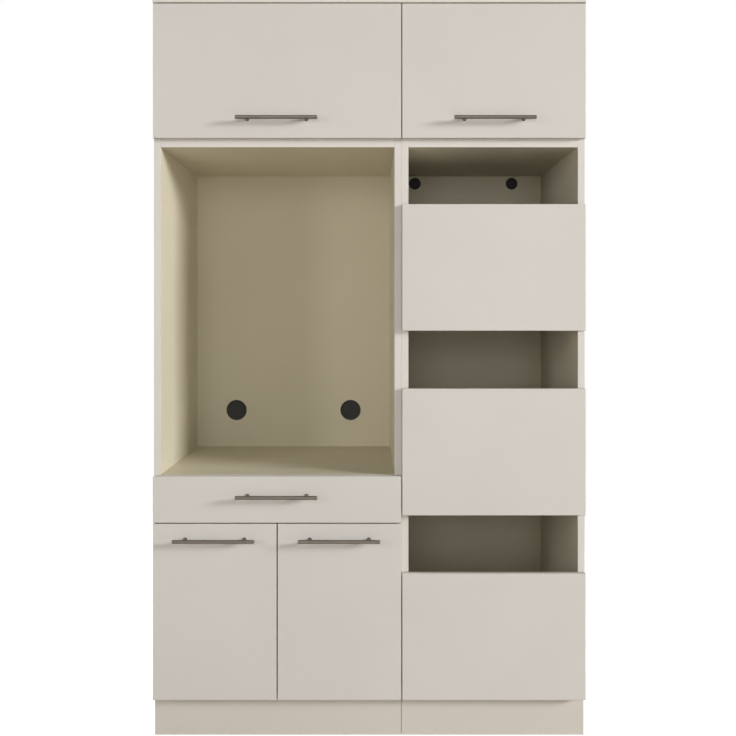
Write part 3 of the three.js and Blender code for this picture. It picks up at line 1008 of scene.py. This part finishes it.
def piercing_tree():
    """Geometry nodes that cut a hole in each marked cell of a wall and give it its plastic."""
    tree = bpy.data.node_groups.new("pierce_cells", "GeometryNodeTree")
    sockets = tree.interface
    sockets.new_socket("Wall", in_out="INPUT", socket_type="NodeSocketGeometry")
    sockets.new_socket("Hole share", in_out="INPUT", socket_type="NodeSocketFloat")
    sockets.new_socket("Plastic", in_out="INPUT", socket_type="NodeSocketMaterial")
    sockets.new_socket("Pierced wall", in_out="OUTPUT", socket_type="NodeSocketGeometry")
    nodes = tree.nodes
    links = tree.links
    given = nodes.new("NodeGroupInput")
    marked = nodes.new("GeometryNodeInputNamedAttribute")
    marked.data_type = "BOOLEAN"
    marked.inputs["Name"].default_value = "pierced"
    inset = nodes.new("GeometryNodeExtrudeMesh")
    inset.mode = "FACES"
    inset.inputs["Offset Scale"].default_value = 0
    inset.inputs["Individual"].default_value = True
    shrink = nodes.new("GeometryNodeScaleElements")
    shrink.domain = "FACE"
    remove = nodes.new("GeometryNodeDeleteGeometry")
    remove.domain = "FACE"
    real = nodes.new("GeometryNodeRealizeInstances")
    coat = nodes.new("GeometryNodeSetMaterial")
    result = nodes.new("NodeGroupOutput")
    links.new(given.outputs["Wall"], inset.inputs["Mesh"])
    links.new(marked.outputs["Attribute"], inset.inputs["Selection"])
    links.new(inset.outputs["Mesh"], shrink.inputs["Geometry"])
    links.new(inset.outputs["Top"], shrink.inputs["Selection"])
    links.new(given.outputs["Hole share"], shrink.inputs["Scale"])
    links.new(shrink.outputs["Geometry"], remove.inputs["Geometry"])
    links.new(inset.outputs["Top"], remove.inputs["Selection"])
    links.new(remove.outputs["Geometry"], real.inputs["Geometry"])
    links.new(real.outputs["Geometry"], coat.inputs["Geometry"])
    links.new(given.outputs["Plastic"], coat.inputs["Material"])
    links.new(coat.outputs["Geometry"], result.inputs["Pierced wall"])
    return tree


def give(piece, tree, **inputs):
    """Adds a node tree to a piece and sets its inputs by their sockets' identifiers."""
    modifier = piece.modifiers.new("layout", "NODES")
    modifier.node_group = tree
    for item in tree.interface.items_tree:
        key = item.name.replace(" ", "_")
        if item.in_out == "INPUT" and key in inputs:
            modifier[item.identifier] = inputs[key]


def settle(piece):
    """Replaces a piece's mesh and modifiers by the plain mesh that they give."""
    view = bpy.context.evaluated_depsgraph_get()
    mesh = bpy.data.meshes.new_from_object(piece.evaluated_get(view), depsgraph=view)
    piece.modifiers.clear()
    piece.data = mesh


basket_plastic = moulding_finish(
    "basket_plastic", basket_tones, roughness=(0.5, 0.62), grain_scale=1200, grain_strength=0.25
)
pierce_cells = piercing_tree()
for node, body in basket_bodies.items():
    low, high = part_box(node)
    middle = (low + high) / 2
    half_width = (high.x - low.x) / 2
    half_depth = (high.y - low.y) / 2
    foot = low.z
    rim = high.z
    half_wall = basket_wall / 2
    wall_low = foot + basket_foot_fillet
    wall_top = rim - basket_rim_drop
    wall_inset = basket_rim_width + basket_taper
    levels = [(inset, foot + half_wall) for inset in floor_insets]
    levels.append((wall_inset + basket_foot_fillet, foot + half_wall))
    levels.append((wall_inset + basket_foot_round, foot + basket_foot_round))
    first_wall_row = len(levels)
    row_height = (rim - grip_low - wall_low) / (pierced_rows + 1)
    wall_heights = [wall_low + row_height * step for step in range(pierced_rows + 2)]
    for height in (*wall_heights, rim - grip_high, wall_top):
        lean = basket_taper * (wall_top - height) / (wall_top - wall_low)
        levels.append((basket_rim_width + lean, height))
    levels += [
        (basket_rim_width - 0.0006, rim - half_wall - 0.0006),
        (basket_rim_width - 0.0020, rim - half_wall),
        (half_wall + 0.0012, rim - half_wall),
        (half_wall, rim - half_wall - 0.0008),
        (half_wall, rim - basket_skirt_drop),
    ]
    rings = []
    for inset, height in levels:
        radius = max(basket_corner_radius - inset, basket_least_radius)
        rings.append(basket_ring(middle, half_width - inset, half_depth - inset, radius, height))
    shape = bmesh.new()
    pierced = shape.faces.layers.bool.new("pierced")
    rows = [[shape.verts.new(point) for point in ring] for ring in rings]
    shape.faces.new(rows[0])
    for level, (row, next_row) in enumerate(zip(rows, rows[1:])):
        wall_row = level - first_wall_row
        for step in range(len(row)):
            after = (step + 1) % len(row)
            here = (row[step].co + next_row[after].co) / 2
            on_side = abs(here.x - middle.x) > half_width - grip_wall_depth
            in_grip = on_side and abs(here.y - middle.y) < grip_half_length
            if in_grip and wall_row == pierced_rows + 1:
                continue
            face = shape.faces.new((row[step], row[after], next_row[after], next_row[step]))
            face[pierced] = 0 < wall_row <= pierced_rows
    basket = finish_shape(node + "_moulding", shape, basket_plastic)
    give(basket, pierce_cells, Hole_share=hole_share, Plastic=basket_plastic)
    settle(basket)
    thickness = basket.modifiers.new("wall", "SOLIDIFY")
    thickness.thickness = basket_wall
    thickness.offset = 0
    softness = basket.modifiers.new("moulded corners", "SUBSURF")
    softness.levels = 1
    softness.render_levels = 1
    settle(basket)
    basket.data.shade_smooth()
    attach(basket, body)
    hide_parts(node)

# Bumpers
# Small clear silicone domes, stuck on the backs of the fronts at their corners. They fill the 2 mm
# gap to the carcass's edges, so that the fronts close softly.
bumper_radius = 0.0042
bumper_height = 0.0019
bumper_inset = 0.0085
bumper_rise = 0.002
door_bumper_shift = 0.006
bumper_segments = 16
bumper_tones = ((196, 196, 192), (204, 204, 200))
bumper_profile = (
    (bumper_radius, 0),
    (bumper_radius, 0.0005),
    (bumper_radius * 0.86, 0.0012),
    (bumper_radius * 0.55, 0.0017),
    (bumper_radius * 0.15, bumper_height),
)


def layout_tree():
    """Geometry nodes that set a fastener out on points, each turned to face its own way."""
    tree = bpy.data.node_groups.new("set_out_fasteners", "GeometryNodeTree")
    sockets = tree.interface
    sockets.new_socket("Places", in_out="INPUT", socket_type="NodeSocketGeometry")
    sockets.new_socket("Fastener", in_out="INPUT", socket_type="NodeSocketObject")
    sockets.new_socket("Finish", in_out="INPUT", socket_type="NodeSocketMaterial")
    sockets.new_socket("Fasteners", in_out="OUTPUT", socket_type="NodeSocketGeometry")
    nodes = tree.nodes
    links = tree.links
    given = nodes.new("NodeGroupInput")
    facing = nodes.new("GeometryNodeInputNamedAttribute")
    facing.data_type = "FLOAT_VECTOR"
    facing.inputs["Name"].default_value = "facing"
    turn = nodes.new("FunctionNodeAlignRotationToVector")
    turn.axis = "Z"
    fastener = nodes.new("GeometryNodeObjectInfo")
    copies = nodes.new("GeometryNodeInstanceOnPoints")
    real = nodes.new("GeometryNodeRealizeInstances")
    coat = nodes.new("GeometryNodeSetMaterial")
    result = nodes.new("NodeGroupOutput")
    links.new(given.outputs["Places"], copies.inputs["Points"])
    links.new(given.outputs["Fastener"], fastener.inputs["Object"])
    links.new(fastener.outputs["Geometry"], copies.inputs["Instance"])
    links.new(facing.outputs["Attribute"], turn.inputs["Vector"])
    links.new(turn.outputs["Rotation"], copies.inputs["Rotation"])
    links.new(copies.outputs["Instances"], real.inputs["Geometry"])
    links.new(real.outputs["Geometry"], coat.inputs["Geometry"])
    links.new(given.outputs["Finish"], coat.inputs["Material"])
    links.new(coat.outputs["Geometry"], result.inputs["Fasteners"])
    return tree


def set_out(name, fastener, places, finish):
    """One mesh with the fastener at each place; a place is a point and the way it faces."""
    mesh = bpy.data.meshes.new(name)
    mesh.from_pydata([tuple(point) for point, facing in places], [], [])
    facings = mesh.attributes.new("facing", "FLOAT_VECTOR", "POINT")
    for item, (point, facing) in zip(facings.data, places):
        item.vector = facing
    piece = new_piece(name, mesh)
    give(piece, fastener_layout, Fastener=fastener, Finish=finish)
    settle(piece)
    return piece


fastener_layout = layout_tree()
bumper_silicone = moulding_finish(
    "bumper_silicone", bumper_tones, roughness=(0.2, 0.3), grain_scale=200, grain_strength=0.05
)
bumper_shape = bmesh.new()
ring_skin(bumper_shape, turned(bumper_profile, bumper_segments))
bumper = finish_shape("bumper", bumper_shape, bumper_silicone)
for node, body in front_bodies.items():
    low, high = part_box(node)
    left = low.x + bumper_inset
    right = high.x - bumper_inset
    bottom = low.z + bumper_inset + bumper_rise
    top = high.z - bumper_inset - bumper_rise
    if node == "left_door":
        corners = ((right - door_bumper_shift, bottom), (right - door_bumper_shift, top))
    elif node == "right_door":
        corners = ((left + door_bumper_shift, bottom), (left + door_bumper_shift, top))
    elif "flap" in node:
        corners = ((left, bottom), (right, bottom))
    else:
        corners = ((left, bottom), (right, bottom), (left, top), (right, top))
    places = [(Vector((x, high.y, z)), (0, 1, 0)) for x, z in corners]
    bumpers = set_out(node + "_bumpers", bumper, places, bumper_silicone)
    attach(bumpers, body)
bpy.data.objects.remove(bumper)

# Screws
# Galvanised cross-head screws: through the back panels into the shelves' edges, in the hinges'
# plates and cups, in the runners, in the drawer's and trays' front boards, and behind the handle
# posts of flaps and doors.
screw_head_radius = 0.0034
screw_head_height = 0.0013
screw_head_segments = 12
slot_half_width = 0.0005
slot_reach = 0.0019
slot_depth = 0.0009
slot_foot_share = 0.8
back_screw_pitch = 0.150
back_screw_sink = 0.0010
screw_tones = ((160, 158, 153), (176, 174, 169))


def cross_ring(reach, height):
    """Twelve points round a cross, in step with the twelve of a turned ring."""
    half = slot_half_width
    points = []
    for quarter in range(4):
        turn = Matrix.Rotation(math.pi / 2 * quarter, 3, "Z")
        for x, y in ((reach, half), (half, half), (half, reach)):
            points.append(turn @ Vector((x, y, 0)) + Vector((0, 0, height)))
    return points


screw_steel = brushed_finish(
    "screw_steel", screw_tones, roughness=(0.28, 0.4), stretch=(200, 200, 200), strength=0.05
)
head_profile = (
    (screw_head_radius, 0),
    (screw_head_radius, 0.0004),
    (screw_head_radius * 0.88, 0.0010),
    (screw_head_radius * 0.66, screw_head_height),
)
half_step = Matrix.Rotation(math.radians(15), 3, "Z")
head_rings = placed(turned(head_profile, screw_head_segments), half_step)
head_rings.append(cross_ring(slot_reach, screw_head_height))
head_rings.append(cross_ring(slot_reach * slot_foot_share, screw_head_height - slot_depth))
screw_shape = bmesh.new()
ring_skin(screw_shape, head_rings)
screw = finish_shape("screw", screw_shape, screw_steel, smooth=False)
backed_boards = (
    "washer_unit_bottom",
    "washer_platform",
    "washer_unit_top",
    "laundry_unit_bottom",
    "middle_laundry_shelf",
    "upper_laundry_shelf",
    "laundry_unit_top",
    "left_cupboard_bottom",
    "right_cupboard_bottom",
)
for node in backed_boards:
    low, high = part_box(node)
    count = round((high.x - low.x) / back_screw_pitch)
    pitch = (high.x - low.x) / count
    seat_y = panel_rear - back_screw_sink
    seat_z = (low.z + high.z) / 2
    for number in range(count):
        seat = Vector((low.x + pitch * (number + 0.5), seat_y, seat_z))
        screw_places["carcass"].append((seat, (0, 1, 0)))
for body, places in screw_places.items():
    if places:
        screws = set_out(body + "_screws", screw, places, screw_steel)
        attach(screws, body)
bpy.data.objects.remove(screw)

# Sizes
# The finished model's box, measured as the frame's was at the start. They differ only by the
# screw heads at the back.
low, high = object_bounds()
